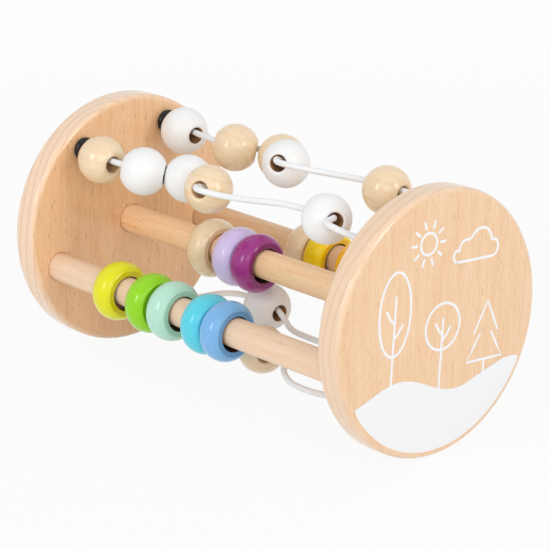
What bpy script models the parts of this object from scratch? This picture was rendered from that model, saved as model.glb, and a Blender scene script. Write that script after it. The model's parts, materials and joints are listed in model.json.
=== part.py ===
"""Wooden rolling rattle: two beech discs joined by three dowels and four bent wires.

Coloured rings slide on the dowels, and round wooden beads slide and spin on the wires.
Metres, +Z up, +X along the rolling axis. The origin is on the floor, midway between the discs.
"""
import math

import bmesh
import bpy
from mathutils import Matrix, Vector

OBJECT_NAME = "rolling_rattle"
MM = 0.001

# End discs
DISC_RADIUS = 55.0 * MM
DISC_THICKNESS = 12.0 * MM
DISC_EDGE_RADIUS = 2.5 * MM
DISC_SPACING = 176.0 * MM
DISC_SIDES = 48

# Dowels, glued into blind sockets in the discs
DOWEL_RADIUS = 6.2 * MM
SOCKET_DEPTH = 8.0 * MM
SOCKET_CLEARANCE = 0.3 * MM
DOWEL_SIDES = 24

# The outer dowels and the wires stand this far in from the discs' rims. Angles go around the
# rolling axis, where 0 is to the rear and 90 is up
DOWEL_INSET = 12.8 * MM
UPPER_WIRE_INSET = 10.0 * MM
LOWER_WIRE_INSET = 17.0 * MM
FRONT_DOWEL_ANGLE = 198.7
REAR_DOWEL_ANGLE = 350.4

# Rings, loose on the dowels
RING_PLAY = 1.1 * MM
RING_WALL = 5.3 * MM
RING_FACE_WIDTH = 2.6 * MM
RING_THICKNESS = 11.0 * MM
RING_CROWN_LEAN = math.radians(70.0)
RING_SIDES = 24
RING_ARC_STEPS = 6

# Wires and the bushes that hold their ends
WIRE_RADIUS = 1.3 * MM
WIRE_STEPS = 4
BUSH_WALL = 1.6 * MM
BUSH_LIP = 2.0 * MM
BUSH_FLANGE_THICKNESS = 2.4 * MM
BUSH_PLUG_LENGTH = 7.0 * MM
BUSH_CLEARANCE = 0.3 * MM
BUSH_SIDES = 16

# Beads, loose on the wires, with a bore wide enough to hang in a bend of this radius
BEAD_RADIUS = 10.2 * MM
BEAD_BEND_RADIUS = 14.0 * MM
BEAD_FLAT_WIDTH = 1.2 * MM
BEAD_SIDES = 16
BEAD_ARC_STEPS = 6

# A piece that hangs on another keeps this gap to it
SEAT_GAP = 0.3 * MM

# A bead that would come nearer than this to the bead before it is pushed along, in these steps
BEAD_GAP = 0.1 * MM
BEAD_PUSH = 0.1 * MM

# The wires are bent for beads of this radius. Larger beads move the bends along by this factor
BENT_FOR_RADIUS = 10.2 * MM
BEND_SPREAD = 3.0

DOWEL_CIRCLE_RADIUS = DISC_RADIUS - DOWEL_INSET
RING_BORE_RADIUS = DOWEL_RADIUS + RING_PLAY
RING_FACE_RADIUS = RING_BORE_RADIUS + RING_FACE_WIDTH
RING_RADIUS = RING_BORE_RADIUS + RING_WALL
BUSH_BORE_RADIUS = WIRE_RADIUS + BUSH_CLEARANCE
BUSH_PLUG_RADIUS = BUSH_BORE_RADIUS + BUSH_WALL
BUSH_FLANGE_RADIUS = BUSH_PLUG_RADIUS + BUSH_LIP
BEAD_BORE_RADIUS = WIRE_RADIUS + SEAT_GAP + BEAD_RADIUS**2 / (4 * BEAD_BEND_RADIUS)
BEAD_FLAT_RADIUS = BEAD_BORE_RADIUS + BEAD_FLAT_WIDTH
HALF_SPACING = DISC_SPACING / 2
AXIS_HEIGHT = DISC_RADIUS * math.cos(math.pi / DISC_SIDES)
AXIS = Vector((0, 0, AXIS_HEIGHT))

# Rings in order from the left disc: colour name, and the free dowel before the ring
RING_ROWS = {
    "front": (("lime", 34.6 * MM), ("green", 10.2 * MM), ("mint", 2.6 * MM),
              ("turquoise", 10.5 * MM), ("blue", 0.8 * MM)),
    "middle": (("natural", 48.6 * MM), ("lilac", 5.1 * MM), ("purple", 0.8 * MM)),
    "rear": (("natural", 63.9 * MM), ("yellow", 1.2 * MM), ("orange", 8.5 * MM)),
}

# Wires: distance in from the rim, angle, the bends, and the beads in order from the left disc.
# A bend is the share of the way from disc to disc, then how far the wire stands off its
# straight line there, to the rear and up. A bead is its colour and its share of the wire that
# no bead covers, which lies before it.
WIRES = {
    "upper_rear": (UPPER_WIRE_INSET, 63.5, (
        (0.098, -0.4 * MM, -0.8 * MM), (0.176, -4.7 * MM, 0.3 * MM), (0.229, -6.3 * MM, 0.7 * MM),
        (0.264, -1.4 * MM, -0.5 * MM), (0.317, 8.5 * MM, -3.3 * MM), (0.368, 10.1 * MM, -4.0 * MM),
        (0.423, 8.1 * MM, -3.2 * MM), (0.465, -3.6 * MM, 0.2 * MM), (0.482, -11.8 * MM, 3.0 * MM),
        (0.508, -14.8 * MM, 3.3 * MM), (0.567, -12.1 * MM, 2.6 * MM), (0.645, -7.0 * MM, 2.0 * MM),
        (0.724, -2.6 * MM, 1.6 * MM), (0.806, -1.4 * MM, 1.6 * MM), (0.888, -1.0 * MM, 1.1 * MM)),
        (("white", 0.012), ("natural", 0.183), ("natural", 0.040), ("white", 0.051), ("natural", 0.475))),
    "upper_front": (UPPER_WIRE_INSET, 125.7, (
        (0.083, -0.3 * MM, -0.9 * MM), (0.155, -1.5 * MM, -0.5 * MM), (0.194, 2.7 * MM, -1.3 * MM),
        (0.253, 12.2 * MM, -3.7 * MM), (0.305, 19.8 * MM, -5.2 * MM), (0.343, 20.8 * MM, -5.6 * MM),
        (0.388, 15.9 * MM, -4.8 * MM), (0.414, 6.3 * MM, -2.1 * MM), (0.422, -0.4 * MM, -0.4 * MM),
        (0.449, -2.8 * MM, -0.2 * MM), (0.512, 0.5 * MM, -0.9 * MM), (0.593, 3.9 * MM, -0.2 * MM),
        (0.674, 7.3 * MM, 0.8 * MM), (0.755, 10.2 * MM, 0.4 * MM), (0.823, 7.3 * MM, 1.6 * MM),
        (0.861, 3.6 * MM, 3.4 * MM), (0.872, -1.9 * MM, 3.3 * MM), (0.905, -3.6 * MM, 2.8 * MM)),
        (("natural", 0.013), ("white", 0.057), ("white", 0.009), ("natural", 0.095), ("white", 0.584))),
    "lower_rear": (LOWER_WIRE_INSET, 287.2, (
        (0.100, 0.0, 0.8 * MM), (0.175, 0.5 * MM, 4.8 * MM), (0.250, 1.0 * MM, 9.6 * MM),
        (0.315, 0.9 * MM, 12.5 * MM), (0.385, 0.9 * MM, 13.5 * MM), (0.450, 0.4 * MM, 13.3 * MM),
        (0.500, -2.1 * MM, 11.2 * MM), (0.550, -5.5 * MM, 8.9 * MM), (0.610, -6.9 * MM, 8.6 * MM),
        (0.680, -6.9 * MM, 8.6 * MM), (0.770, -4.6 * MM, 6.0 * MM), (0.860, -1.2 * MM, 2.0 * MM)),
        (("white", 0.471), ("natural", 0.422))),
    "lower_front": (LOWER_WIRE_INSET, 262.0, (
        (0.130, 0.0, 0.2 * MM), (0.270, 0.0, 1.4 * MM), (0.400, 0.8 * MM, 3.8 * MM),
        (0.480, 1.0 * MM, 5.4 * MM), (0.530, -2.8 * MM, 6.6 * MM), (0.580, -9.3 * MM, 7.3 * MM),
        (0.630, -11.9 * MM, 7.6 * MM), (0.675, -13.9 * MM, 7.1 * MM), (0.710, -18.7 * MM, 5.6 * MM),
        (0.745, -20.7 * MM, 4.0 * MM), (0.790, -18.8 * MM, 2.4 * MM), (0.840, -14.0 * MM, 1.3 * MM),
        (0.890, -6.8 * MM, 0.4 * MM), (0.935, -1.6 * MM, 0.0)),
        (("natural", 0.527),)),
}

# Finishes: base colour, roughness and metallic value
FINISHES = {
    "beech": ((0.78, 0.55, 0.36), 0.5, 0.0),
    "natural": ((0.86, 0.66, 0.43), 0.4, 0.0),
    "white": ((0.9, 0.9, 0.9), 0.35, 0.0),
    "lime": ((0.8, 0.8, 0.05), 0.3, 0.0),
    "green": ((0.3, 0.67, 0.01), 0.3, 0.0),
    "mint": ((0.45, 0.8, 0.62), 0.3, 0.0),
    "turquoise": ((0.04, 0.52, 0.64), 0.3, 0.0),
    "blue": ((0.16, 0.42, 0.76), 0.3, 0.0),
    "lilac": ((0.56, 0.46, 0.8), 0.3, 0.0),
    "purple": ((0.27, 0.02, 0.22), 0.3, 0.0),
    "yellow": ((0.92, 0.62, 0.01), 0.3, 0.0),
    "orange": ((0.95, 0.42, 0.01), 0.3, 0.0),
    "wire": ((0.88, 0.88, 0.88), 0.35, 0.0),
    "bush": ((0.02, 0.02, 0.02), 0.5, 0.0),
}


def clear_scene():
    for obj in list(bpy.data.objects):
        bpy.data.objects.remove(obj, do_unlink=True)


def new_collection(name):
    collection = bpy.data.collections.new(name)
    bpy.context.scene.collection.children.link(collection)
    return collection


def make_finish(name):
    """A Principled material for one finish, made once and shared."""
    if name in bpy.data.materials:
        return bpy.data.materials[name]
    colour, roughness, metallic = FINISHES[name]
    material = bpy.data.materials.new(name)
    material.use_nodes = True
    shader = material.node_tree.nodes["Principled BSDF"]
    shader.inputs["Base Color"].default_value = (*colour, 1)
    shader.inputs["Roughness"].default_value = roughness
    shader.inputs["Metallic"].default_value = metallic
    return material


def add_object(name, data, finish, collection, matrix):
    obj = bpy.data.objects.new(name, data)
    obj.matrix_world = matrix
    data.materials.append(make_finish(finish))
    collection.objects.link(obj)
    return obj


def smooth(mesh, angle=40.0):
    mesh.shade_smooth()
    mesh.set_sharp_from_angle(angle=math.radians(angle))


def aimed(place, direction):
    """A matrix at a place whose Z axis points in a direction."""
    turn = Vector((0, 0, 1)).rotation_difference(direction).to_matrix().to_4x4()
    return Matrix.Translation(place) @ turn


def on_circle(radius, angle, x):
    """A point on a circle around the rolling axis, where angle 0 is to the rear and 90 is up."""
    turn = math.radians(angle)
    return AXIS + Vector((x, radius * math.cos(turn), radius * math.sin(turn)))


def wire_hole(inset, angle, x):
    return on_circle(DISC_RADIUS - inset, angle, x)


def add_turned(name, profile, sides, finish, collection, matrix):
    """A closed profile of (radius, height) points, turned around Z by a Screw modifier."""
    mesh = bpy.data.meshes.new(name)
    shape = bmesh.new()
    points = [shape.verts.new((radius, 0, height)) for radius, height in profile]
    for start, end in zip(points, points[1:] + points[:1]):
        shape.edges.new((start, end))
    shape.to_mesh(mesh)
    shape.free()
    obj = add_object(name, mesh, finish, collection, matrix)
    screw = obj.modifiers.new("turn", "SCREW")
    screw.steps = sides
    screw.render_steps = sides
    screw.use_merge_vertices = True
    screw.merge_threshold = 0.01 * MM
    screw.use_smooth_shade = True
    return obj


def add_cylinder(shape, radius, start, end, sides):
    """One capped cylinder along X in a bmesh, with a flat side facing down."""
    half_side = Matrix.Rotation(math.pi / sides, 4, "X")
    upright = Matrix.Rotation(math.pi / 2, 4, "Y")
    middle = Matrix.Translation((start + end) / 2)
    bmesh.ops.create_cone(shape, cap_ends=True, segments=sides, radius1=radius, radius2=radius,
                          depth=(end - start).length, matrix=middle @ half_side @ upright)


def dowel_places():
    """The middle of each dowel."""
    return {
        "front": on_circle(DOWEL_CIRCLE_RADIUS, FRONT_DOWEL_ANGLE, 0),
        "middle": AXIS.copy(),
        "rear": on_circle(DOWEL_CIRCLE_RADIUS, REAR_DOWEL_ANGLE, 0),
    }


def add_dowel(name, place, collection):
    reach = HALF_SPACING + SOCKET_DEPTH - SOCKET_CLEARANCE
    mesh = bpy.data.meshes.new(name)
    shape = bmesh.new()
    add_cylinder(shape, DOWEL_RADIUS, Vector((-reach, 0, 0)), Vector((reach, 0, 0)), DOWEL_SIDES)
    shape.to_mesh(mesh)
    shape.free()
    smooth(mesh)
    return add_object(name, mesh, "beech", collection, Matrix.Translation(place))


def add_socket_cutter(name, side, collection):
    """All the blind holes of one disc: a socket for each dowel and one for each wire's bush."""
    mesh = bpy.data.meshes.new(name)
    shape = bmesh.new()
    face = side * HALF_SPACING
    mouth = face - side * SOCKET_CLEARANCE
    for place in dowel_places().values():
        start = Vector((mouth, place.y, place.z))
        end = Vector((face + side * SOCKET_DEPTH, place.y, place.z))
        add_cylinder(shape, DOWEL_RADIUS + SOCKET_CLEARANCE, start, end, DOWEL_SIDES)
    for inset, angle, *_ in WIRES.values():
        start = wire_hole(inset, angle, mouth)
        end = wire_hole(inset, angle, face + side * (BUSH_PLUG_LENGTH + BUSH_CLEARANCE))
        add_cylinder(shape, BUSH_PLUG_RADIUS + BUSH_CLEARANCE, start, end, BUSH_SIDES)
    bmesh.ops.recalc_face_normals(shape, faces=shape.faces)
    shape.to_mesh(mesh)
    shape.free()
    cutter = bpy.data.objects.new(name, mesh)
    cutter.hide_render = True
    cutter.display_type = "WIRE"
    collection.objects.link(cutter)
    return cutter


def add_disc(name, side, collection, cutters):
    mesh = bpy.data.meshes.new(name)
    shape = bmesh.new()
    half = DISC_THICKNESS / 2
    add_cylinder(shape, DISC_RADIUS, Vector((-half, 0, 0)), Vector((half, 0, 0)), DISC_SIDES)
    shape.to_mesh(mesh)
    shape.free()
    smooth(mesh)
    place = AXIS + Vector((side * (HALF_SPACING + half), 0, 0))
    disc = add_object(name, mesh, "beech", collection, Matrix.Translation(place))
    edge = disc.modifiers.new("round_edge", "BEVEL")
    edge.width = DISC_EDGE_RADIUS
    edge.segments = 3
    edge.limit_method = "ANGLE"
    edge.angle_limit = math.radians(60)
    sockets = disc.modifiers.new("sockets", "BOOLEAN")
    sockets.operation = "DIFFERENCE"
    sockets.solver = "EXACT"
    sockets.object = add_socket_cutter(name + "_sockets", side, cutters)
    return disc


def ring_profile():
    """A rounded crown that meets flat faces at an edge, around a straight bore."""
    half = RING_THICKNESS / 2
    edge = math.cos(RING_CROWN_LEAN)
    profile = [(RING_BORE_RADIUS, half)]
    for step in range(RING_ARC_STEPS + 1):
        turn = RING_CROWN_LEAN * (1 - 2 * step / RING_ARC_STEPS)
        crown = (math.cos(turn) - edge) / (1 - edge)
        radius = RING_FACE_RADIUS + (RING_RADIUS - RING_FACE_RADIUS) * crown
        profile.append((radius, half * math.sin(turn) / math.sin(RING_CROWN_LEAN)))
    profile.append((RING_BORE_RADIUS, -half))
    return profile


def add_ring_row(row, place, collection):
    """The rings of one dowel, each hanging on it."""
    hang = RING_BORE_RADIUS * math.cos(math.pi / RING_SIDES) - DOWEL_RADIUS - SEAT_GAP
    x = -HALF_SPACING
    for colour, free_dowel in RING_ROWS[row]:
        x += free_dowel + RING_THICKNESS / 2
        seat = Vector((x, place.y, place.z - hang))
        add_turned(f"ring_{row}_{colour}", ring_profile(), RING_SIDES, colour, collection,
                   aimed(seat, Vector((1, 0, 0))))
        x += RING_THICKNESS / 2


def bend_place(share):
    """How far along X a bend lies: it moves on from the left disc as the beads there grow."""
    growth = BEAD_RADIUS / BENT_FOR_RADIUS - 1
    moved = share + BEND_SPREAD * growth * share * (1 - share)**2
    return (2 * moved - 1) * HALF_SPACING


def wire_path(inset, angle, bends):
    """Points along a wire: straight in both bushes, and one smooth curve through its bends."""
    lead = HALF_SPACING - 2 * BUSH_FLANGE_THICKNESS
    knots = [wire_hole(inset, angle, -lead)]
    for share, rear, up in bends:
        knots.append(wire_hole(inset, angle, bend_place(share)) + Vector((0, rear, up)))
    knots.append(wire_hole(inset, angle, lead))
    straight = Vector((1, 0, 0))
    headings = [(after - before).normalized() for before, after in zip(knots, knots[2:])]
    headings = [straight] + headings + [straight]
    tip = HALF_SPACING + BUSH_PLUG_LENGTH - BUSH_CLEARANCE
    points = [wire_hole(inset, angle, -tip)]
    for start, end, leaving, arriving in zip(knots, knots[1:], headings, headings[1:]):
        reach = (end - start).length
        for step in range(WIRE_STEPS):
            t = step / WIRE_STEPS
            points.append(start * (2 * t**3 - 3 * t**2 + 1) + leaving * reach * (t**3 - 2 * t**2 + t)
                          + end * (3 * t**2 - 2 * t**3) + arriving * reach * (t**3 - t**2))
    return points + [knots[-1], wire_hole(inset, angle, tip)]


def add_wire(name, path, collection):
    curve = bpy.data.curves.new(name, "CURVE")
    curve.dimensions = "3D"
    curve.bevel_depth = WIRE_RADIUS
    curve.bevel_resolution = 2
    curve.use_fill_caps = True
    spline = curve.splines.new("POLY")
    spline.points.add(len(path) - 1)
    for target, point in zip(spline.points, path):
        target.co = (*point, 1)
    spline.use_smooth = True
    return add_object(name, curve, "wire", collection, Matrix.Identity(4))


def bush_profile():
    """A plug for the disc's hole, a rounded flange on its face, and a bore for the wire."""
    top = BUSH_FLANGE_THICKNESS + BUSH_CLEARANCE
    rim = BUSH_FLANGE_RADIUS - BUSH_FLANGE_THICKNESS / 3
    return [(BUSH_BORE_RADIUS, top), (rim, top), (BUSH_FLANGE_RADIUS, top - BUSH_FLANGE_THICKNESS / 3),
            (BUSH_FLANGE_RADIUS, top - BUSH_FLANGE_THICKNESS * 2 / 3), (rim, BUSH_CLEARANCE),
            (BUSH_PLUG_RADIUS, BUSH_CLEARANCE), (BUSH_PLUG_RADIUS, -BUSH_PLUG_LENGTH),
            (BUSH_BORE_RADIUS, -BUSH_PLUG_LENGTH)]


def add_bush(name, inset, angle, side, collection):
    place = wire_hole(inset, angle, side * HALF_SPACING)
    add_turned(name, bush_profile(), BUSH_SIDES, "bush", collection, aimed(place, Vector((-side, 0, 0))))


def bead_half_length():
    return math.sqrt(BEAD_RADIUS**2 - BEAD_FLAT_RADIUS**2)


def bead_profile():
    """A ball with a flat at each end of its bore."""
    half = bead_half_length()
    first = math.atan2(half, BEAD_FLAT_RADIUS)
    profile = [(BEAD_BORE_RADIUS, half)]
    for step in range(BEAD_ARC_STEPS + 1):
        turn = first - 2 * first * step / BEAD_ARC_STEPS
        profile.append((BEAD_RADIUS * math.cos(turn), BEAD_RADIUS * math.sin(turn)))
    profile.append((BEAD_BORE_RADIUS, -half))
    return profile


def stretch(path, start, end):
    """The points of a path between two distances along it, both ends included."""
    points = []
    travelled = 0.0
    for first, second in zip(path, path[1:]):
        length = (second - first).length
        for mark in (start, end):
            if travelled <= mark < travelled + length:
                points.append(first.lerp(second, (mark - travelled) / length))
        travelled += length
        if start < travelled < end:
            points.append(second)
    return points


def bead_seat(path, middle):
    """Where a bead hangs on a wire, and the direction of its bore."""
    half = bead_half_length()
    inside = stretch(path, middle - half, middle + half)
    span = inside[-1] - inside[0]
    direction = span.normalized()
    down = (direction * direction.z - Vector((0, 0, 1))).normalized()
    centre = inside[0] + span / 2
    bows = []
    for side in (down, direction.cross(down)):
        offsets = [(point - inside[0]).dot(side) for point in inside]
        centre += side * (min(offsets) + max(offsets)) / 2
        bows.append((max(offsets) - min(offsets)) / 2)
    bore_room = BEAD_BORE_RADIUS * math.cos(math.pi / BEAD_SIDES) - WIRE_RADIUS - SEAT_GAP
    return centre + down * (bore_room - math.hypot(*bows)), direction


def bead_room(seat, other):
    """The least room from the surface points of one bead to the ball and flats of another."""
    half = bead_half_length()
    into_other = other.inverted() @ seat
    rooms = []
    for radius, height in bead_profile():
        for side in range(BEAD_SIDES):
            turn = 2 * math.pi * side / BEAD_SIDES
            point = into_other @ Vector((radius * math.cos(turn), radius * math.sin(turn), height))
            rooms.append(max(abs(point.z) - half, point.length - BEAD_RADIUS))
    return min(rooms)


def add_beads(wire, path, beads, collection):
    """The beads of one wire, in order, each hanging on it and pushed along by the one before."""
    held = BUSH_PLUG_LENGTH + BUSH_FLANGE_THICKNESS
    length = sum((second - first).length for first, second in zip(path, path[1:]))
    half = bead_half_length()
    free_wire = length - 2 * held - 2 * half * len(beads)
    along = held
    before = None
    for number, (colour, share) in enumerate(beads, 1):
        along += share * free_wire + half
        seat = aimed(*bead_seat(path, along))
        while before and bead_room(seat, before) < BEAD_GAP:
            along += BEAD_PUSH
            seat = aimed(*bead_seat(path, along))
        add_turned(f"bead_{wire}_{number}_{colour}", bead_profile(), BEAD_SIDES, colour, collection, seat)
        before = seat
        along += half


def build():
    clear_scene()
    parts = new_collection(OBJECT_NAME)
    cutters = new_collection("cutters")
    for name, side in (("left", -1), ("right", 1)):
        add_disc(f"disc_{name}", side, parts, cutters)
    for row, place in dowel_places().items():
        add_dowel(f"dowel_{row}", place, parts)
        add_ring_row(row, place, parts)
    for wire, (inset, angle, bends, beads) in WIRES.items():
        path = wire_path(inset, angle, bends)
        add_wire(f"wire_{wire}", path, parts)
        for name, side in (("left", -1), ("right", 1)):
            add_bush(f"bush_{wire}_{name}", inset, angle, side, parts)
        add_beads(wire, path, beads, parts)
    bpy.context.view_layer.update()


build()
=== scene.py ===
import json
import math

import bmesh
import bpy
from mathutils import Matrix, Vector


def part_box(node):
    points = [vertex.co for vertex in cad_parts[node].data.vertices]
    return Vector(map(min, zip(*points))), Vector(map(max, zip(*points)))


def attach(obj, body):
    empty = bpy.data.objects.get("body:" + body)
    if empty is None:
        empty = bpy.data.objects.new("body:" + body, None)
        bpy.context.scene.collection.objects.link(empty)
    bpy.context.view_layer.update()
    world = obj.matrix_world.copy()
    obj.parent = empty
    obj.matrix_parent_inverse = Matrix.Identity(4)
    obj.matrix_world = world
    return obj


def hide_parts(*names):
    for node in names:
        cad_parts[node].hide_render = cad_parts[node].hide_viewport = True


# A wooden rolling rattle: two beech discs joined by dowels with lacquered rings and by bent wires with beads.
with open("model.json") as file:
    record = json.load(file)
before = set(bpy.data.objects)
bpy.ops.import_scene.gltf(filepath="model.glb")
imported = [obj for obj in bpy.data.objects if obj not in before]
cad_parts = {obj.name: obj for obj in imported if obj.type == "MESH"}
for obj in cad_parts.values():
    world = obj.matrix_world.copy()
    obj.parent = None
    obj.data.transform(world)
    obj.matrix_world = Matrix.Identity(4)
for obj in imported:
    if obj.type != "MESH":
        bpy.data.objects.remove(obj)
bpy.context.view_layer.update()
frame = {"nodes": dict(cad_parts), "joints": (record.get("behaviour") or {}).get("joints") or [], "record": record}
MM = 0.001
MERGE_DISTANCE = 0.001 * MM

# Turned wood, sizes in metres
DISC_EDGE_RADIUS = 2.4 * MM
DISC_EDGE_STEPS = 10
DISC_FLAT_LIP = 0.8 * MM
DISC_STEPS = 160
SOCKET_GAP = 0.1 * MM
SOCKET_CHAMFER = 0.25 * MM
SOCKET_STEPS = 48
BUSH_HOLE_RADIUS = 3.5 * MM
BUSH_HOLE_DEPTH = 7.5 * MM
DOWEL_CHAMFER = 0.6 * MM
DOWEL_LENGTHS = 24
DOWEL_STEPS = 56
RING_BORE_RADIUS = 7.3 * MM
RING_FACE_RADIUS = 9.8 * MM
RING_FACE_STEP = 0.3 * MM
RING_MOUTH_RADIUS = 0.55 * MM
RING_MOUTH_STEPS = 10
RING_CROWN_LEAN = math.radians(70.0)
RING_CROWN_STEPS = 36
RING_STEPS = 80
BEAD_RADIUS = 10.2 * MM
BEAD_BORE_RADIUS = 3.458 * MM
BEAD_FLAT_RADIUS = 4.658 * MM
BEAD_MOUTH_RADIUS = 0.9 * MM
BEAD_MOUTH_STEPS = 6
BEAD_BALL_STEPS = 36
BEAD_STEPS = 72
MARK_MARGIN = 0.15 * MM

# Wires and the rubber bushes at their ends
WIRE_RADIUS = 1.3 * MM
WIRE_SIDES = 16
WIRE_STEPS = 9
WIRE_LEAD = 4.8 * MM
WIRE_PLUG = 6.7 * MM
BUSH_BORE_RADIUS = 1.4 * MM
BUSH_PLUG_RADIUS = 3.2 * MM
BUSH_SEAT = 0.05 * MM
BUSH_EDGE_RADIUS = 1.5 * MM
BUSH_EDGE_STEPS = 10
BUSH_UNDERCUT = 25.0
BUSH_LIP = 0.5 * MM
BUSH_CHAMFER = 0.4 * MM
BUSH_STEPS = 44

# Each wire's bends, as (share of the way across, rear offset, up offset), the offsets in millimetres
WIRE_ROUTES = {
    "upper_rear": [
        (0.098, -0.4, -0.8), (0.176, -4.7, 0.3), (0.229, -6.3, 0.7), (0.264, -1.4, -0.5),
        (0.317, 8.5, -3.3), (0.368, 10.1, -4.0), (0.423, 8.1, -3.2), (0.465, -3.6, 0.2),
        (0.482, -11.8, 3.0), (0.508, -14.8, 3.3), (0.567, -12.1, 2.6), (0.645, -7.0, 2.0),
        (0.724, -2.6, 1.6), (0.806, -1.4, 1.6), (0.888, -1.0, 1.1),
    ],
    "upper_front": [
        (0.083, -0.3, -0.9), (0.155, -1.5, -0.5), (0.194, 2.7, -1.3), (0.253, 12.2, -3.7),
        (0.305, 19.8, -5.2), (0.343, 20.8, -5.6), (0.388, 15.9, -4.8), (0.414, 6.3, -2.1),
        (0.422, -0.4, -0.4), (0.449, -2.8, -0.2), (0.512, 0.5, -0.9), (0.593, 3.9, -0.2),
        (0.674, 7.3, 0.8), (0.755, 10.2, 0.4), (0.823, 7.3, 1.6), (0.861, 3.6, 3.4), (0.872, -1.9, 3.3),
        (0.905, -3.6, 2.8),
    ],
    "lower_rear": [
        (0.100, 0.0, 0.8), (0.175, 0.5, 4.8), (0.250, 1.0, 9.6), (0.315, 0.9, 12.5), (0.385, 0.9, 13.5),
        (0.450, 0.4, 13.3), (0.500, -2.1, 11.2), (0.550, -5.5, 8.9), (0.610, -6.9, 8.6),
        (0.680, -6.9, 8.6), (0.770, -4.6, 6.0), (0.860, -1.2, 2.0),
    ],
    "lower_front": [
        (0.130, 0.0, 0.2), (0.270, 0.0, 1.4), (0.400, 0.8, 3.8), (0.480, 1.0, 5.4), (0.530, -2.8, 6.6),
        (0.580, -9.3, 7.3), (0.630, -11.9, 7.6), (0.675, -13.9, 7.1), (0.710, -18.7, 5.6),
        (0.745, -20.7, 4.0), (0.790, -18.8, 2.4), (0.840, -14.0, 1.3), (0.890, -6.8, 0.4),
        (0.935, -1.6, 0.0),
    ],
}

# White print on the right disc
PRINT_LINE_RADIUS = 0.6 * MM
PRINT_RISE = 0.09 * MM
PRINT_SIDES = 10
PRINT_TIP_ANGLES = (30, 60, 82)
PRINT_TURN = math.radians(-4.0)
PRINT_EDGE_GAP = 0.5 * MM
HILL_LEVEL = -24.0 * MM
HILL_SWING = 4.0 * MM
HILL_CREST = -20.0 * MM
HILL_LENGTH = 62.0 * MM
HILL_STEPS = 48

# Wood, with its grain along Z, sizes in metres
PITH_OFFSET = (55 * MM, 30 * MM, 0.0)
PITH_LEAN = (math.radians(2.5), math.radians(-3.0), 0.0)
WAVE_PERIOD = 2 * math.pi / 20
NOISE_RANGE = (0.3, 0.7)
GROWTH_BAND = 3.8 * MM
BAND_SHARPNESS = 6.0
BROAD_STREAK = (9 * MM, 9 * MM, 160 * MM)
FIBRE = (0.6 * MM, 0.6 * MM, 20 * MM)
FLECK_CELL = (1.1 * MM, 1.1 * MM, 7.5 * MM)
FLECK_FADE = (0.24, 0.08)
FLECK_CHOICE = (0.1, 0.7)
STREAK_SHARE = 0.8
BROAD_SHARE = 0.45
FULL_FIGURE = 1.4
RIM_LINE_SHARE = 0.32
# Share of painted shade on the flat faces of rings
FACE_SHADE = 0.8
BORE_SHADE = 0.5
WOOD_DULLING = 0.1
WOOD_BORE_DULLING = 0.4
WOOD_SPECULAR = 0.2
WOOD_BUMP = 0.05 * MM

# Paint on wood
PAINT_MOTTLE = (8 * MM, 8 * MM, 8 * MM)
PAINT_FIBRE = (6 * MM, 0.9 * MM, 0.9 * MM)
PAINT_PEEL = (1.1 * MM, 1.1 * MM, 1.1 * MM)
MOTTLE_RANGE = (0.35, 0.65)
MOTTLE_SHARE = 0.2
PAINT_FIBRE_RANGE = (0.35, 0.7)
PAINT_FIBRE_SHARE = 0.5
PAINT_TONE = 0.5
PAINT_DULLING = 0.08
PAINT_BORE_DULLING = 0.5
PAINT_POLISH = 0.17
PAINT_SPECULAR = 0.1
FIBRE_RELIEF = 0.6
PAINT_BUMP = 0.03 * MM
BUMP_STRENGTH = 0.6

# Colours as on a screen, 0 to 255
BEECH = {"pale": (242, 211, 176), "deep": (222, 176, 130), "fleck": (170, 112, 70)}
PINK_BEECH = {"pale": (248, 223, 198), "deep": (237, 197, 161), "fleck": (196, 144, 104)}
# A warmer, more saturated beech for the left disc, whose inner face is in shade: partly the wood's colour, partly
# painted shade
WARM_BEECH = {"pale": (251, 214, 171), "deep": (232, 173, 119), "fleck": (160, 98, 58)}
# A brighter copy of beech for the middle dowel: painted light that makes up for light it lacks
ROSY_BEECH = {"pale": (255, 228, 190), "deep": (246, 190, 136), "fleck": (170, 108, 68)}
MAPLE = {"pale": (247, 229, 200), "deep": (236, 202, 154), "fleck": (206, 156, 104)}
# Pale tint of disc rims: partly end grain, partly painted sheen
END_GRAIN_AND_SHEEN = (252, 228, 206)
BARE_WOOD = (190, 144, 98)
BARE_DEEP = (84, 54, 34)
# Ring bores: a dark brown that is painted shade over the bare wood
RING_BORE_PAINTED_SHADE = (70, 48, 36)
# Each ring's paint and a darker colour, which gives random mottle and painted shade on the flat faces
RING_PAINTS = {
    "lime": ((236, 233, 12), (216, 204, 4)),
    "green": ((152, 222, 8), (116, 186, 2)),
    "mint": ((188, 234, 212), (156, 214, 188)),
    "turquoise": ((92, 216, 236), (50, 186, 210)),
    "blue": ((126, 186, 238), (98, 160, 218)),
    "lilac": ((220, 205, 248), (188, 170, 224)),
    "purple": ((164, 48, 138), (120, 28, 98)),
    "yellow": ((255, 222, 0), (240, 190, 0)),
    "orange": ((255, 190, 0), (246, 164, 0)),
}

# Finishes without their colours
DISC_FINISH = {"bands": 0.15, "gloss": 0.42, "along_x": False, "coat": 0.9, "polish": 0.1}
DOWEL_FINISH = {"flecks": 0.35, "gloss": 0.42, "along_x": True, "coat": 0.2}
MAPLE_FINISH = {"bands": 0.3, "flecks": 0.25, "gloss": 0.22, "along_x": True, "coat": 0.8}
LACQUER_FINISH = {"gloss": 0.3, "coat": 0.7, "bore": RING_BORE_PAINTED_SHADE}

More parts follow.
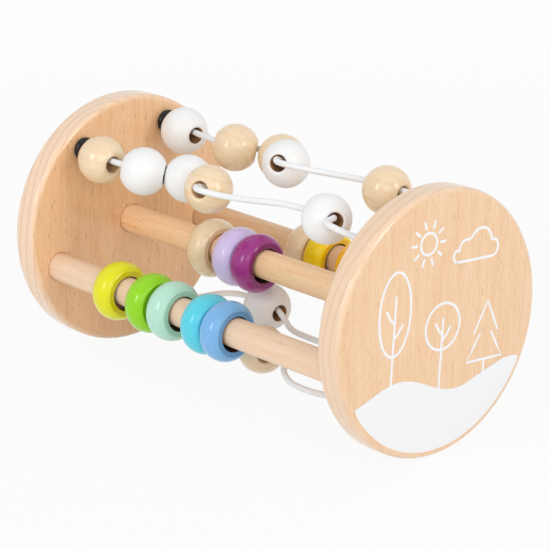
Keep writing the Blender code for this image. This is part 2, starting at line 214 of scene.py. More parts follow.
# Floor, surround and camera
BACKGROUND = (0.985, 0.985, 0.985, 1.0)
FLOOR_COLOUR = (0.95, 0.95, 0.95, 1.0)
FLOOR_SIZE = 6.0
SHADOW_NEAR = 0.25
SHADOW_FAR = 0.8
SHADOW_SHARE = 0.07
WORLD_LIGHT = 0.64
CAMERA_AZIMUTH = 47.731
CAMERA_ELEVATION = 18.407
CAMERA_DISTANCE = 1.163904
CAMERA_LENS = 183.45
CAMERA_SENSOR = 36.0
CAMERA_SHIFT = (0.01449, -0.01836)

body_of_node = {}
for body, members in frame["record"]["behaviour"]["bodies"].items():
    for member in members:
        body_of_node[member] = body
axis_of_body = {joint["child"]: Vector(joint["axis"]).normalized() for joint in frame["joints"]}


def middle(node):
    low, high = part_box(node)
    return (low + high) / 2


def span(node):
    low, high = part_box(node)
    return high - low


DISC_RADIUS = span("disc_right").z / 2
AXIS_HEIGHT = middle("disc_right").z
INNER_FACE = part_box("disc_right")[0].x
OUTER_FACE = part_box("disc_right")[1].x
DISC_THICKNESS = OUTER_FACE - INNER_FACE


# Modelling helpers

def along(origin, axis):
    """The matrix that takes a shape made along local Z to an axis through origin."""
    turn = Vector(axis).to_track_quat("Z", "Y").to_matrix().to_4x4()
    return Matrix.Translation(origin) @ turn


def arc(height, radius, bend, start, end, steps):
    """Points of (height, radius) on a bend. Angles are in degrees: 0 points outwards and 90 up the axis."""
    points = []
    for step in range(steps + 1):
        angle = math.radians(start + (end - start) * step / steps)
        points.append((height + bend * math.sin(angle), radius + bend * math.cos(angle)))
    return points


def turned(profile, steps, closed=False):
    """A shape turned on a lathe: (height, radius) points spun about local Z."""
    bm = bmesh.new()
    verts = [bm.verts.new((radius, 0, height)) for height, radius in profile]
    ends = verts[1:] + verts[:1] if closed else verts[1:]
    edges = [bm.edges.new(pair) for pair in zip(verts, ends)]
    bmesh.ops.spin(
        bm, geom=verts + edges, axis=(0, 0, 1), angle=2 * math.pi, steps=steps, use_merge=True
    )
    bmesh.ops.remove_doubles(bm, verts=bm.verts, dist=MERGE_DISTANCE)
    bmesh.ops.recalc_face_normals(bm, faces=bm.faces)
    return bm


def mark_inside(bm, name, radius):
    """Puts a mark on the mesh: 1 inside a radius and 0 outside."""
    layer = bm.verts.layers.float.new(name)
    for vert in bm.verts:
        vert[layer] = 1.0 if vert.co.xy.length < radius else 0.0


def mark_rim(bm, start, end):
    """Marks the rim of a disc: 0 on its faces, rising to 1 from one radius to the other."""
    layer = bm.verts.layers.float.new("rim")
    for vert in bm.verts:
        vert[layer] = min(max((vert.co.xy.length - start) / (end - start), 0.0), 1.0)


def edges_of(verts):
    """The edges at some vertices, each once and always in the same order."""
    return list(dict.fromkeys(edge for vert in verts for edge in vert.link_edges))


def swept(bm, points, radii, sides, closed=False):
    """A round bar along points, with a radius at each: a ring of edges is pushed from point to point."""
    count = len(points)
    tangents = []
    for i in range(count):
        before = points[(i - 1) % count] if closed else points[max(i - 1, 0)]
        after = points[(i + 1) % count] if closed else points[min(i + 1, count - 1)]
        tangents.append((after - before).normalized())
    turn = tangents[0].to_track_quat("Z", "X")
    first = bmesh.ops.create_circle(
        bm,
        segments=sides,
        radius=radii[0],
        cap_ends=not closed,
        matrix=Matrix.Translation(points[0]) @ turn.to_matrix().to_4x4(),
    )["verts"]
    ring = edges_of(first)
    start = ring
    for i in range(1, count):
        grown = bmesh.ops.extrude_edge_only(bm, edges=ring)["geom"]
        verts = [item for item in grown if isinstance(item, bmesh.types.BMVert)]
        ring = [item for item in grown if isinstance(item, bmesh.types.BMEdge)]
        ring = [edge for edge in ring if edge.verts[0] in verts and edge.verts[1] in verts]
        step = tangents[i - 1].rotation_difference(tangents[i]).to_matrix().to_4x4()
        size = Matrix.Scale(radii[i] / radii[i - 1], 4)
        move = Matrix.Translation(points[i]) @ step @ size @ Matrix.Translation(-points[i - 1])
        bmesh.ops.transform(bm, matrix=move, verts=verts)
    if closed:
        bmesh.ops.bridge_loops(bm, edges=start + ring)
    else:
        bmesh.ops.edgeloop_fill(bm, edges=ring)
    bmesh.ops.recalc_face_normals(bm, faces=bm.faces)


def hand_over(name, bm, finish, slot, body, *nodes, crease=35):
    """Makes a finished piece of a modelled shape. It moves with a body and stands for the nodes named."""
    mesh = bpy.data.meshes.new(name)
    bm.to_mesh(mesh)
    bm.free()
    mesh.shade_smooth()
    mesh.set_sharp_from_angle(angle=math.radians(crease))
    mesh.materials.append(finish)
    piece = bpy.data.objects.new(name, mesh)
    bpy.context.scene.collection.objects.link(piece)
    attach(piece, body)
    if nodes:
        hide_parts(*nodes)


# Materials

def linear(red, green, blue):
    """A colour written as on a screen, 0 to 255, as the shader wants it."""
    shares = [value / 255 for value in (red, green, blue)]
    return [((share + 0.055) / 1.055) ** 2.4 if share > 0.04 else share / 12.92 for share in shares] + [1.0]


def place(tree, kind, wires=None, **settings):
    """Adds a node. wires gives each input's value, or the output that feeds it."""
    made = tree.nodes.new("ShaderNode" + kind)
    for name, value in settings.items():
        setattr(made, name, value)
    for socket, value in (wires or {}).items():
        if isinstance(value, bpy.types.NodeSocket):
            tree.links.new(value, made.inputs[socket])
        else:
            made.inputs[socket].default_value = value
    return made


def math_node(tree, operation, first, second):
    return place(tree, "Math", {0: first, 1: second}, operation=operation).outputs[0]


def spread(tree, value, low, high, new_low, new_high):
    """Maps low..high of a value to new_low..new_high, and stops at the ends."""
    wires = {"Value": value, "From Min": low, "From Max": high, "To Min": new_low, "To Max": new_high}
    return place(tree, "MapRange", wires).outputs["Result"]


def mixed(tree, share, first, second):
    """A mix of two colours, with a share of the second."""
    return place(tree, "Mix", {0: share, 6: first, 7: second}, data_type="RGBA").outputs[2]


def stretched(tree, vector, size):
    """The vector divided by a size along each axis, in metres."""
    scale = [1 / length for length in size]
    return place(tree, "Mapping", {"Vector": vector, "Scale": scale}).outputs["Vector"]


def new_group(name, inputs, outputs):
    """An empty node group with its inputs and outputs, as (name, kind) pairs."""
    group = bpy.data.node_groups.new(name, "ShaderNodeTree")
    for direction, sockets in (("INPUT", inputs), ("OUTPUT", outputs)):
        for socket, kind in sockets:
            group.interface.new_socket(name=socket, in_out=direction, socket_type="NodeSocket" + kind)
    entry = group.nodes.new("NodeGroupInput")
    leave = group.nodes.new("NodeGroupOutput")
    return group, entry.outputs, leave.inputs


def finish_outputs(group, outputs, values):
    for name, value in values.items():
        group.links.new(value, outputs[name])


def make_wood_group():
    """Wood with its grain along Z: growth bands, fine fibres, short dark flecks, and painted shade and sheen."""
    inputs = [("Grain", "Vector"), ("Pale", "Color"), ("Deep", "Color"), ("Fleck", "Color")]
    inputs += [("Bands", "Float"), ("Flecks", "Float"), ("Gloss", "Float")]
    inputs += [("Bare", "Float"), ("Face", "Float"), ("Rim", "Float")]
    outputs = [("Color", "Color"), ("Roughness", "Float"), ("Height", "Float")]
    group, given, result = new_group("wood grain", inputs, outputs)
    grain = given["Grain"]

    pith = place(group, "Mapping", {"Vector": grain, "Location": PITH_OFFSET, "Rotation": PITH_LEAN})
    bands = place(
        group,
        "TexWave",
        {"Vector": pith.outputs["Vector"], "Scale": WAVE_PERIOD / GROWTH_BAND, "Distortion": 3.0,
         "Detail": 2.0, "Detail Scale": 0.35, "Detail Roughness": 0.6},
        wave_type="RINGS",
        rings_direction="Z",
        wave_profile="SIN",
    ).outputs["Fac"]
    broad = place(group, "TexNoise", {"Vector": stretched(group, grain, BROAD_STREAK), "Detail": 2.0})
    fibre = place(group, "TexNoise", {"Vector": stretched(group, grain, FIBRE), "Detail": 3.0})
    fleck = place(group, "TexVoronoi", {"Vector": stretched(group, grain, FLECK_CELL), "Scale": 1.0})
    cell = place(group, "SeparateColor", {"Color": fleck.outputs["Color"]}).outputs[0]

    ray = spread(group, fleck.outputs["Distance"], *FLECK_FADE, 0.0, 1.0)
    chosen = spread(group, cell, *FLECK_CHOICE, 0.0, 1.0)
    dash = math_node(group, "MULTIPLY", ray, chosen)
    lines = math_node(group, "POWER", bands, BAND_SHARPNESS)
    banded = math_node(group, "MULTIPLY", lines, given["Bands"])
    streaks = spread(group, fibre.outputs["Fac"], *NOISE_RANGE, 0.0, STREAK_SHARE)
    wide = spread(group, broad.outputs["Fac"], *NOISE_RANGE, 0.0, BROAD_SHARE)
    figure = math_node(group, "ADD", banded, math_node(group, "ADD", streaks, wide))
    depth = spread(group, figure, 0.0, FULL_FIGURE, 0.0, 1.0)
    board = mixed(group, depth, given["Pale"], given["Deep"])
    marked = mixed(group, math_node(group, "MULTIPLY", dash, given["Flecks"]), board, given["Fleck"])
    # The rim is paled towards a greyish tint: partly end grain, partly painted sheen
    rim_tinted = mixed(group, given["Rim"], marked, linear(*END_GRAIN_AND_SHEEN))
    rim_bands = math_node(group, "MULTIPLY", lines, given["Rim"])
    rim_lines = math_node(group, "MULTIPLY", rim_bands, RIM_LINE_SHARE)
    ringed = mixed(group, rim_lines, rim_tinted, given["Fleck"])
    # Flat faces are darkened towards the deep colour: painted shade
    face_shaded = mixed(group, math_node(group, "MULTIPLY", given["Face"], FACE_SHADE), ringed, given["Deep"])
    # Bores are darkened towards the fleck colour: painted shade
    shown = mixed(group, math_node(group, "MULTIPLY", given["Bare"], BORE_SHADE), face_shaded, given["Fleck"])

    dull = spread(group, fibre.outputs["Fac"], *NOISE_RANGE, 0.0, WOOD_DULLING)
    sheen = math_node(group, "ADD", given["Gloss"], dull)
    rough = math_node(group, "ADD", sheen, math_node(group, "MULTIPLY", given["Bare"], WOOD_BORE_DULLING))
    pores = math_node(group, "SUBTRACT", fibre.outputs["Fac"], dash)
    finish_outputs(group, result, {"Color": shown, "Roughness": rough, "Height": pores})
    return group


def make_paint_group():
    """Thin paint on turned wood: slightly mottled, with fibres showing through, none on bare wood, and painted
    shade on flat faces.
    """
    inputs = [("Place", "Vector"), ("Paint", "Color"), ("Shade", "Color"), ("Wood", "Color")]
    inputs += [("Bare", "Float"), ("Face", "Float"), ("Gloss", "Float")]
    outputs = [("Color", "Color"), ("Roughness", "Float"), ("Height", "Float")]
    group, given, result = new_group("paint on wood", inputs, outputs)
    where = given["Place"]

    mottle = place(group, "TexNoise", {"Vector": stretched(group, where, PAINT_MOTTLE), "Detail": 3.0})
    fibre = place(group, "TexNoise", {"Vector": stretched(group, where, PAINT_FIBRE), "Detail": 2.0})
    peel = place(group, "TexNoise", {"Vector": stretched(group, where, PAINT_PEEL), "Detail": 1.0})
    uneven = spread(group, mottle.outputs["Fac"], *MOTTLE_RANGE, 0.0, MOTTLE_SHARE)
    lined = spread(group, fibre.outputs["Fac"], *PAINT_FIBRE_RANGE, 0.0, PAINT_FIBRE_SHARE)
    coat = mixed(group, math_node(group, "MULTIPLY", uneven, lined), given["Paint"], given["Shade"])
    tone = mixed(group, math_node(group, "MULTIPLY", uneven, PAINT_TONE), coat, given["Shade"])
    worn = math_node(group, "MULTIPLY", fibre.outputs["Fac"], BORE_SHADE)
    # The bore colour is bare wood, and for rings a dark brown of painted shade
    board = mixed(group, worn, given["Wood"], linear(*BARE_DEEP))
    # Flat faces are darkened towards the shade colour: painted shade
    painted_face_shade = mixed(group, math_node(group, "MULTIPLY", given["Face"], FACE_SHADE), tone, given["Shade"])
    shown = mixed(group, given["Bare"], painted_face_shade, board)

    dull = spread(group, mottle.outputs["Fac"], *NOISE_RANGE, 0.0, PAINT_DULLING)
    sheen = math_node(group, "ADD", given["Gloss"], dull)
    rough = math_node(group, "ADD", sheen, math_node(group, "MULTIPLY", given["Bare"], PAINT_BORE_DULLING))
    ridges = math_node(group, "MULTIPLY", fibre.outputs["Fac"], FIBRE_RELIEF)
    bumps = math_node(group, "ADD", peel.outputs["Fac"], ridges)
    finish_outputs(group, result, {"Color": shown, "Roughness": rough, "Height": bumps})
    return group


def new_material(name, even):
    """A material with a Principled shader whose even values are set on its own sockets."""
    made = bpy.data.materials.new(name)
    made.use_nodes = True
    tree = made.node_tree
    shader = tree.nodes["Principled BSDF"]
    for socket, value in even.items():
        shader.inputs[socket].default_value = value
    return made, tree, shader


def wear(tree, group, wires, shader, depth):
    """Puts a finish group in a material and feeds the shader with what it gives."""
    made = place(tree, "Group", wires, node_tree=group)
    tree.links.new(made.outputs["Color"], shader.inputs["Base Color"])
    tree.links.new(made.outputs["Roughness"], shader.inputs["Roughness"])
    relief = {"Height": made.outputs["Height"], "Distance": depth, "Strength": BUMP_STRENGTH}
    bump = place(tree, "Bump", relief)
    tree.links.new(bump.outputs["Normal"], shader.inputs["Normal"])


def grain_vector(tree, along_x):
    """Object coordinates with the grain along Z, for wood whose grain runs up the piece or along X."""
    where = place(tree, "TexCoord").outputs["Object"]
    if not along_x:
        return where
    return place(tree, "Mapping", {"Vector": where, "Rotation": (0, math.radians(-90), 0)}).outputs["Vector"]


def mask(tree, name):
    """A mark that was put on the mesh: 1 where it holds and 0 elsewhere."""
    return place(tree, "Attribute", attribute_name=name).outputs["Fac"]


def wood(name, pale, deep, fleck, bands, flecks, gloss, along_x, coat, polish=0.2, rim=0.0):
    """A finish of varnished wood. rim is the share of a pale tint on a disc's rim: partly end grain, partly
    painted sheen.
    """
    even = {"Coat Weight": coat, "Coat Roughness": polish, "Specular IOR Level": WOOD_SPECULAR}
    made, tree, shader = new_material(name, even)
    wires = {"Grain": grain_vector(tree, along_x), "Pale": linear(*pale), "Deep": linear(*deep)}
    wires |= {"Fleck": linear(*fleck), "Bands": bands, "Flecks": flecks, "Gloss": gloss}
    wires |= {"Bare": mask(tree, "bare"), "Face": mask(tree, "face")}
    wires |= {"Rim": math_node(tree, "MULTIPLY", mask(tree, "rim"), rim)}
    wear(tree, wood_group, wires, shader, WOOD_BUMP)
    return made


def painted(name, paint, shade, gloss, coat, bore=BARE_WOOD):
    """A finish of paint or of another even coat. bore is the colour inside a bore: bare wood, darkened to painted
    shade for rings.
    """
    even = {"Coat Weight": coat, "Coat Roughness": PAINT_POLISH, "Specular IOR Level": PAINT_SPECULAR}
    made, tree, shader = new_material(name, even)
    wires = {"Place": place(tree, "TexCoord").outputs["Object"], "Paint": linear(*paint)}
    wires |= {"Shade": linear(*shade), "Wood": linear(*bore), "Bare": mask(tree, "bare"), "Gloss": gloss}
    wires |= {"Face": mask(tree, "face")}
    wear(tree, paint_group, wires, shader, PAINT_BUMP)
    return made


wood_group = make_wood_group()
paint_group = make_paint_group()

disc_woods = {
    # The left disc's warmer beech is partly painted shade
    "left": wood("warm beech disc", **WARM_BEECH, **DISC_FINISH, flecks=0.6, rim=0.6),
    "right": wood("beech disc", **BEECH, **DISC_FINISH, flecks=0.35, rim=0.4),
}
dowel_woods = {
    "front": wood("pink beech dowel", **PINK_BEECH, **DOWEL_FINISH, bands=0.25),
    # The middle dowel's brighter beech is painted light
    "middle": wood("rosy beech dowel", **ROSY_BEECH, **DOWEL_FINISH, bands=0.3),
    "rear": wood("beech dowel", **BEECH, **DOWEL_FINISH, bands=0.3),
}
natural_wood = wood("varnished maple", **MAPLE, **MAPLE_FINISH)
white_paint = painted("white satin paint", (246, 246, 246), (238, 237, 236), gloss=0.34, coat=0.25)
ring_finishes = {"natural": natural_wood}
for colour, (paint, shade) in RING_PAINTS.items():
    ring_finishes[colour] = painted(colour + " lacquer", paint, shade, **LACQUER_FINISH)
wire_coat = painted("white wire coating", (244, 245, 247), (234, 236, 239), gloss=0.3, coat=0.3)
rubber = painted("black rubber", (20, 18, 18), (12, 11, 11), gloss=0.35, coat=0.5)
print_ink = painted("white print", (236, 237, 239), (231, 232, 234), gloss=0.46, coat=0.0)


# Discs

def disc_profile():
    """From the middle of the outer face over the rim to the edge of the inner face, which is filled later."""
    edge = DISC_EDGE_RADIUS
    flat = DISC_RADIUS - edge
    points = [(0, 0), (0, flat - DISC_FLAT_LIP)]
    points += arc(edge, flat, edge, -90, 0, DISC_EDGE_STEPS)
    points += arc(DISC_THICKNESS - edge, flat, edge, 0, 90, DISC_EDGE_STEPS)
    points.append((DISC_THICKNESS, flat - DISC_FLAT_LIP))
    return points


def fill_inner_face(bm, holes):
    """Fills the open face round its holes, and sinks each hole with a softened mouth."""
    rims = []
    for x, y, radius, _ in holes:
        mouth = bmesh.ops.create_circle(
            bm,
            segments=SOCKET_STEPS,
            radius=radius + SOCKET_CHAMFER,
            matrix=Matrix.Translation((x, y, DISC_THICKNESS)),
        )["verts"]
        rims.append(edges_of(mouth))
    open_edges = [edge for edge in bm.edges if len(edge.link_faces) < 2]
    bmesh.ops.triangle_fill(bm, use_beauty=True, edges=open_edges)
    for rim, (x, y, radius, depth) in zip(rims, holes):
        centre = Vector((x, y, DISC_THICKNESS))
        narrowing = radius / (radius + SOCKET_CHAMFER)
        for sink, size in ((SOCKET_CHAMFER, narrowing), (depth, 1.0)):
            grown = bmesh.ops.extrude_edge_only(bm, edges=rim)["geom"]
            verts = [item for item in grown if isinstance(item, bmesh.types.BMVert)]
            rim = [item for item in grown if isinstance(item, bmesh.types.BMEdge)]
            rim = [edge for edge in rim if len(edge.link_faces) == 1]
            bmesh.ops.scale(bm, vec=(size, size, 1), space=Matrix.Translation(-centre), verts=verts)
            bmesh.ops.translate(bm, vec=(0, 0, -sink), verts=verts)
        bmesh.ops.edgeloop_fill(bm, edges=rim)
    bmesh.ops.recalc_face_normals(bm, faces=bm.faces)


def side_name(side):
    return "right" if side > 0 else "left"


def make_disc(side):
    """A disc with its blind holes, for the left side (-1) or the right side (1)."""
    node = "disc_" + side_name(side)
    to_place = along((side * OUTER_FACE, 0, AXIS_HEIGHT), (-side, 0, 0))
    to_local = to_place.inverted()
    holes = []
    for dowel in dowel_woods:
        spot = to_local @ middle("dowel_" + dowel)
        reach = span("dowel_" + dowel).x / 2 - INNER_FACE + SOCKET_GAP
        holes.append((spot.x, spot.y, span("dowel_" + dowel).y / 2 + SOCKET_GAP, reach))
    for wire in WIRE_ROUTES:
        spot = to_local @ middle(f"bush_{wire}_{side_name(side)}")
        holes.append((spot.x, spot.y, BUSH_HOLE_RADIUS, BUSH_HOLE_DEPTH))
    bm = turned(disc_profile(), DISC_STEPS)
    fill_inner_face(bm, holes)
    mark_rim(bm, DISC_RADIUS - DISC_EDGE_RADIUS, DISC_RADIUS)
    bmesh.ops.transform(bm, matrix=to_place, verts=bm.verts)
    hand_over(node + "_turned", bm, disc_woods[side_name(side)], "beech", "frame", node)


# Dowels and rings

def make_dowel(dowel):
    node = "dowel_" + dowel
    length = span(node).x
    radius = span(node).y / 2
    points = [(0, 0), (0, radius - DOWEL_CHAMFER)]
    for step in range(DOWEL_LENGTHS + 1):
        points.append((DOWEL_CHAMFER + (length - 2 * DOWEL_CHAMFER) * step / DOWEL_LENGTHS, radius))
    points += [(length, radius - DOWEL_CHAMFER), (length, 0)]
    bm = turned(points, DOWEL_STEPS)
    start = middle(node) - Vector((length / 2, 0, 0))
    bmesh.ops.transform(bm, matrix=along(start, (1, 0, 0)), verts=bm.verts)
    hand_over(node + "_turned", bm, dowel_woods[dowel], "beech", "frame", node)


def ring_profile(half, outer):
    """A rounded ring: a crown that meets the flat faces at an edge, and a bore with softened mouths."""
    lean = RING_CROWN_LEAN
    points = []
    for step in range(RING_CROWN_STEPS + 1):
        angle = lean - 2 * lean * step / RING_CROWN_STEPS
        crown = (math.cos(angle) - math.cos(lean)) / (1 - math.cos(lean))
        rise = half * math.sin(angle) / math.sin(lean)
        points.append((rise, RING_FACE_RADIUS + (outer - RING_FACE_RADIUS) * crown))
    mouth = RING_MOUTH_RADIUS
    points.append((-half, RING_FACE_RADIUS - RING_FACE_STEP))
    points += arc(mouth - half, RING_BORE_RADIUS + mouth, mouth, 270, 180, RING_MOUTH_STEPS)
    points += arc(half - mouth, RING_BORE_RADIUS + mouth, mouth, 180, 90, RING_MOUTH_STEPS)
    points.append((half, RING_FACE_RADIUS - RING_FACE_STEP))
    return points


def make_ring(node):
    colour = node.split("_")[-1]
    size = span(node)
    bm = turned(ring_profile(size.x / 2, size.y / 2), RING_STEPS, closed=True)
    mark_inside(bm, "bare", RING_BORE_RADIUS + MARK_MARGIN)
    # Marks the flat faces, which get painted shade
    mark_inside(bm, "face", RING_FACE_RADIUS - MARK_MARGIN)
    bmesh.ops.transform(bm, matrix=along(middle(node), (1, 0, 0)), verts=bm.verts)
    hand_over(node + "_turned", bm, ring_finishes[colour], colour, body_of_node[node], node, crease=12)


# Beads

def bead_profile():
    """A ball with flat ends, and a bore whose mouths are softened."""
    lean = math.degrees(math.acos(BEAD_FLAT_RADIUS / BEAD_RADIUS))
    half = BEAD_RADIUS * math.sin(math.radians(lean))
    mouth = BEAD_MOUTH_RADIUS
    points = arc(0, 0, BEAD_RADIUS, lean, -lean, BEAD_BALL_STEPS)
    points += arc(mouth - half, BEAD_BORE_RADIUS + mouth, mouth, 270, 180, BEAD_MOUTH_STEPS)
    points += arc(half - mouth, BEAD_BORE_RADIUS + mouth, mouth, 180, 90, BEAD_MOUTH_STEPS)
    return points


def make_bead(node):
    colour = node.split("_")[-1]
    bm = turned(bead_profile(), BEAD_STEPS, closed=True)
    mark_inside(bm, "bare", BEAD_BORE_RADIUS + MARK_MARGIN)
    bmesh.ops.transform(bm, matrix=along(middle(node), axis_of_body[body_of_node[node]]), verts=bm.verts)
    finish = white_paint if colour == "white" else natural_wood
    hand_over(node + "_turned", bm, finish, colour, body_of_node[node], node)


# Wires and bushes

def wire_points(wire):
    """A smooth curve through the wire's bends, with straight ends that go into the discs."""
    hole = middle(f"bush_{wire}_right")
    straight = Vector((0, hole.y, hole.z))
    knots = [straight + Vector((WIRE_LEAD - INNER_FACE, 0, 0))]
    for share, rear, up in WIRE_ROUTES[wire]:
        knots.append(straight + Vector(((2 * share - 1) * INNER_FACE, rear * MM, up * MM)))
    knots.append(straight + Vector((INNER_FACE - WIRE_LEAD, 0, 0)))
    ahead = Vector((1, 0, 0))
    turning = [(after - before).normalized() for before, after in zip(knots, knots[2:])]
    headings = [ahead] + turning + [ahead]
    points = [straight - Vector((INNER_FACE + WIRE_PLUG, 0, 0))]
    for i in range(len(knots) - 1):
        reach = (knots[i + 1] - knots[i]).length
        for step in range(WIRE_STEPS):
            t = step / WIRE_STEPS
            start = knots[i] * (2 * t**3 - 3 * t**2 + 1) + headings[i] * reach * (t**3 - 2 * t**2 + t)
            end = knots[i + 1] * (3 * t**2 - 2 * t**3) + headings[i + 1] * reach * (t**3 - t**2)
            points.append(start + end)
    points.append(knots[-1])
    points.append(straight + Vector((INNER_FACE + WIRE_PLUG, 0, 0)))
    return points


def make_wire(wire):
    node = "wire_" + wire
    bm = bmesh.new()
    points = wire_points(wire)
    swept(bm, points, [WIRE_RADIUS] * len(points), WIRE_SIDES)
    hand_over(node + "_coated", bm, wire_coat, "wire", "frame", node)


def bush_profile(flange, outer, plug):
    """A rubber bush: a plug with a bore, under a domed flange that rests on the disc."""
    bend = BUSH_EDGE_RADIUS
    points = [(flange - BUSH_CHAMFER, BUSH_BORE_RADIUS), (flange, BUSH_BORE_RADIUS + BUSH_LIP)]
    points += arc(flange - bend, outer - bend, bend, 90, -BUSH_UNDERCUT, BUSH_EDGE_STEPS)
    points += [(BUSH_SEAT, outer - BUSH_LIP), (BUSH_SEAT, BUSH_PLUG_RADIUS)]
    points += [(BUSH_CHAMFER - plug, BUSH_PLUG_RADIUS), (-plug, BUSH_PLUG_RADIUS - BUSH_CHAMFER)]
    points.append((-plug, BUSH_BORE_RADIUS))
    return points


def make_bush(wire, side):
    node = f"bush_{wire}_{side_name(side)}"
    low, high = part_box(node)
    near = min(abs(low.x), abs(high.x))
    far = max(abs(low.x), abs(high.x))
    spot = middle(node)
    bm = turned(bush_profile(INNER_FACE - near, span(node).y / 2, far - INNER_FACE), BUSH_STEPS, closed=True)
    seat = Vector((side * INNER_FACE, spot.y, spot.z))
    bmesh.ops.transform(bm, matrix=along(seat, (-side, 0, 0)), verts=bm.verts)
    hand_over(node + "_moulded", bm, rubber, "bush", "frame", node)


# Print on the right disc, drawn as (right, up) in millimetres from the middle of the face

def on_face(right, up):
    """A point of the print on the outer face of the right disc."""
    turn = Matrix.Rotation(PRINT_TURN, 4, "X")
    return Vector((OUTER_FACE, 0, AXIS_HEIGHT)) + turn @ Vector((0, right * MM, up * MM))


def oval(right, up, wide, tall, steps=48):
    """An oval round a middle, with its half width and half height."""
    turns = [2 * math.pi * step / steps for step in range(steps)]
    return [(right + wide * math.cos(turn), up + tall * math.sin(turn)) for turn in turns]


def bump_line(right, up, radius, start, end, steps=14):
    """Part of a circle from one angle to another, in degrees."""
    turns = [math.radians(start + (end - start) * step / steps) for step in range(steps + 1)]
    return [(right + radius * math.cos(turn), up + radius * math.sin(turn)) for turn in turns]


def hill_top(right):
    """The height of the hill's top edge, in metres."""
    return HILL_LEVEL + HILL_SWING * math.cos(2 * math.pi * (right - HILL_CREST) / HILL_LENGTH)


def round_ends(points):
    """An open line with its two ends rounded off: the points and the radius at each."""
    line = [on_face(*point) for point in points]
    radii = [PRINT_LINE_RADIUS] * len(line)
    for end, inner in ((0, 1), (-1, -2)):
        out = (line[end] - line[inner]).normalized()
        tips = []
        for angle in PRINT_TIP_ANGLES:
            turn = math.radians(angle)
            tip = line[end] + out * PRINT_LINE_RADIUS * math.sin(turn)
            tips.append((tip, PRINT_LINE_RADIUS * math.cos(turn)))
        if end == 0:
            line = [point for point, size in reversed(tips)] + line
            radii = [size for point, size in reversed(tips)] + radii
        else:
            line += [point for point, size in tips]
            radii += [size for point, size in tips]
    return line, radii


def print_lines(name, strokes):
    """A printed motif: strokes are (points, closed), each a flat bead of ink on the face."""
    bm = bmesh.new()
    for points, closed in strokes:
        if closed:
            line = [on_face(*point) for point in points]
            radii = [PRINT_LINE_RADIUS] * len(line)
        else:
            line, radii = round_ends(points)
        swept(bm, line, radii, PRINT_SIDES, closed)
    flatten = PRINT_RISE / PRINT_LINE_RADIUS
    bmesh.ops.scale(bm, vec=(flatten, 1, 1), space=Matrix.Translation((-OUTER_FACE, 0, 0)), verts=bm.verts)
    hand_over(name, bm, print_ink, "white", "frame")


def print_hill():
    """The white hill along the bottom of the face, as a thin film of ink."""
    reach = DISC_RADIUS - DISC_EDGE_RADIUS - PRINT_EDGE_GAP
    start = -math.sqrt(reach**2 - hill_top(-reach) ** 2)
    end = math.sqrt(reach**2 - hill_top(reach) ** 2)
    outline = []
    for step in range(HILL_STEPS + 1):
        right = start + (end - start) * step / HILL_STEPS
        outline.append((right, hill_top(right)))
    turn_start = math.atan2(outline[-1][1], outline[-1][0])
    turn_end = math.atan2(outline[0][1], outline[0][0])
    for step in range(1, HILL_STEPS):
        turn = turn_start + (turn_end - turn_start) * step / HILL_STEPS
        outline.append((reach * math.cos(turn), reach * math.sin(turn)))
    bm = bmesh.new()
    verts = [bm.verts.new(on_face(right / MM, up / MM)) for right, up in outline]
    film = bmesh.ops.contextual_create(bm, geom=verts)["faces"]
    grown = bmesh.ops.extrude_face_region(bm, geom=film)["geom"]
    raised = [item for item in grown if isinstance(item, bmesh.types.BMVert)]
    bmesh.ops.translate(bm, vec=(PRINT_RISE, 0, 0), verts=raised)
    bmesh.ops.recalc_face_normals(bm, faces=bm.faces)
    hand_over("print_hill", bm, print_ink, "white", "frame")


def stem(right, *heights):
    """An upright line from the hill's top edge through the heights given."""
    return [(right, up) for up in (hill_top(right * MM) / MM, *heights)]


def print_poplar(right=-25):
    print_lines("print_poplar", [
        (oval(right, 8, 8.5, 17), True),
        (stem(right, -4, 6, 15), False),
        ([(right, -2), (right + 2.5, 0.5), (right + 4.5, 3.5)], False),
        ([(right, 4), (right - 2.5, 6.5), (right - 4.5, 9.5)], False),
    ])


def print_round_tree(right=2):
    print_lines("print_round_tree", [
        (oval(right, -1, 9.5, 9.5), True),
        (stem(right, -14, -4, 2), False),
        ([(right, -7), (right + 2.5, -4.5), (right + 4, -2)], False),
        ([(right, -4.5), (right - 2.5, -2), (right - 4, 0.5)], False),
    ])


def print_fir(right=27, foot=-18.6, top=5.8):
    """A fir of two tiers. One side is drawn from the foot up, and the other mirrors it."""
    side = [(10, foot), (6.5, -13), (3, -7.4), (6.8, -7.4), (3.4, -0.8)]
    rising = [(right + out, up) for out, up in side]
    falling = [(right - out, up) for out, up in reversed(side)]
    outline = falling[-1:] + [(right, foot)] + rising + [(right, top)] + falling[:-1]
    print_lines("print_fir", [(stem(right, -21, foot), False), (outline, True)])


def print_cloud():
    outline = [(7, 24), (17, 24), (27, 24)]
    outline += bump_line(27, 27.5, 3.5, -90, 75)
    outline += bump_line(20.5, 30.5, 6, 5, 150)
    outline += bump_line(12.2, 29.2, 3.6, 70, 190)
    outline += bump_line(8, 26.6, 2.6, 120, 270)
    print_lines("print_cloud", [(outline, True)])


def print_sun(right=-9, up=34, rays=10):
    strokes = [(oval(right, up, 4.4, 4.4), True)]
    for ray in range(rays):
        turn = 2 * math.pi * ray / rays
        line = [(right + size * math.cos(turn), up + size * math.sin(turn)) for size in (6.6, 7.8, 9.0)]
        strokes.append((line, False))
    print_lines("print_sun", strokes)


for side in (-1, 1):
    make_disc(side)
for dowel in dowel_woods:
    make_dowel(dowel)
for node in sorted(frame["nodes"]):
    if node.startswith("ring_"):
        make_ring(node)
    if node.startswith("bead_"):
        make_bead(node)
for wire in WIRE_ROUTES:
    make_wire(wire)
    for side in (-1, 1):
        make_bush(wire, side)
print_hill()
print_poplar()
print_round_tree()
print_fir()
print_cloud()
print_sun()


# Floor, world, lights and camera

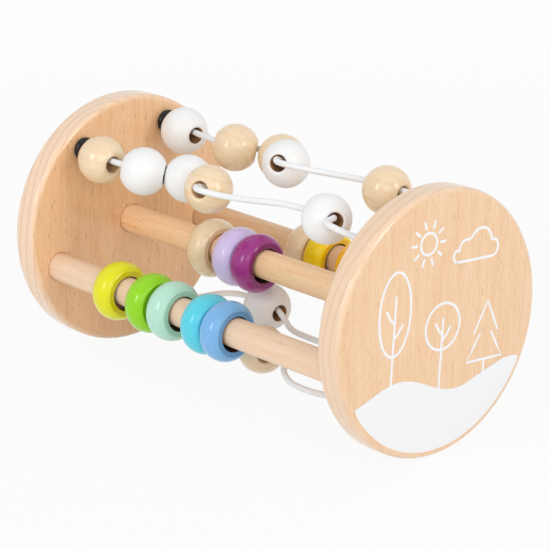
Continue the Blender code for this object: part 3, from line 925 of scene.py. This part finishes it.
def seen_directly(tree):
    """1 for what the camera sees, also through a mirror or glass."""
    path = place(tree, "LightPath").outputs
    seen = math_node(tree, "MAXIMUM", path["Is Camera Ray"], path["Is Glossy Ray"])
    return math_node(tree, "MAXIMUM", seen, path["Is Transmission Ray"])


def make_floor():
    bm = bmesh.new()
    bmesh.ops.create_grid(bm, x_segments=8, y_segments=8, size=FLOOR_SIZE / 2)
    mesh = bpy.data.meshes.new("floor")
    bm.to_mesh(mesh)
    bm.free()
    floor = bpy.data.objects.new("floor", mesh)
    bpy.context.scene.collection.objects.link(floor)
    paper = bpy.data.materials.new("white floor")
    paper.use_nodes = True
    tree = paper.node_tree
    tree.nodes.clear()
    lit = place(tree, "BsdfDiffuse", {"Color": FLOOR_COLOUR}).outputs["BSDF"]
    bright = place(tree, "Emission", {"Color": BACKGROUND}).outputs["Emission"]
    where = place(tree, "TexCoord").outputs["Object"]
    away = place(tree, "VectorMath", {0: where}, operation="LENGTH").outputs["Value"]
    share = spread(tree, away, SHADOW_NEAR, SHADOW_FAR, 1 - SHADOW_SHARE, 1.0)
    seen = math_node(tree, "MULTIPLY", share, seen_directly(tree))
    blend = place(tree, "MixShader", {0: seen, 1: lit, 2: bright}).outputs["Shader"]
    place(tree, "OutputMaterial", {"Surface": blend})
    mesh.materials.append(paper)


def make_world():
    world = bpy.data.worlds.new("white surround")
    world.use_nodes = True
    tree = world.node_tree
    tree.nodes.clear()
    glow = place(tree, "Background", {"Color": (1, 1, 1, 1), "Strength": WORLD_LIGHT}).outputs["Background"]
    bright = place(tree, "Background", {"Color": BACKGROUND, "Strength": 1.0}).outputs["Background"]
    blend = place(tree, "MixShader", {0: seen_directly(tree), 1: glow, 2: bright}).outputs["Shader"]
    place(tree, "OutputWorld", {"Surface": blend})
    bpy.context.scene.world = world


def from_target(azimuth, elevation, distance):
    """The matrix of a lamp or camera that looks at the middle of the rattle. Angles are in degrees."""
    turn = math.radians(azimuth)
    rise = math.radians(elevation)
    out = Vector((math.sin(turn) * math.cos(rise), -math.cos(turn) * math.cos(rise), math.sin(rise)))
    spot = Vector((0, 0, AXIS_HEIGHT)) + out * distance
    return Matrix.Translation(spot) @ (-out).to_track_quat("-Z", "Y").to_matrix().to_4x4()


def make_softbox(name, azimuth, elevation, distance, width, height, watts):
    lamp = bpy.data.lights.new(name, "AREA")
    lamp.shape = "RECTANGLE"
    lamp.size = width
    lamp.size_y = height
    lamp.energy = watts
    holder = bpy.data.objects.new(name, lamp)
    holder.matrix_world = from_target(azimuth, elevation, distance)
    holder.visible_camera = False
    bpy.context.scene.collection.objects.link(holder)


def make_camera():
    camera = bpy.data.cameras.new("camera")
    camera.sensor_width = CAMERA_SENSOR
    camera.lens = CAMERA_LENS
    camera.shift_x, camera.shift_y = CAMERA_SHIFT
    holder = bpy.data.objects.new("camera", camera)
    holder.matrix_world = from_target(CAMERA_AZIMUTH, CAMERA_ELEVATION, CAMERA_DISTANCE)
    bpy.context.scene.collection.objects.link(holder)
    bpy.context.scene.camera = holder


make_floor()
make_world()
make_softbox("left softbox", azimuth=-3, elevation=25, distance=1.3, width=0.24, height=0.48, watts=3.0)
make_softbox("right softbox", azimuth=97, elevation=24, distance=1.3, width=0.28, height=0.65, watts=4.0)
make_softbox("front softbox", azimuth=50, elevation=26, distance=1.6, width=1.0, height=0.8, watts=3.7)
make_camera()
bpy.context.scene.view_settings.view_transform = "Standard"
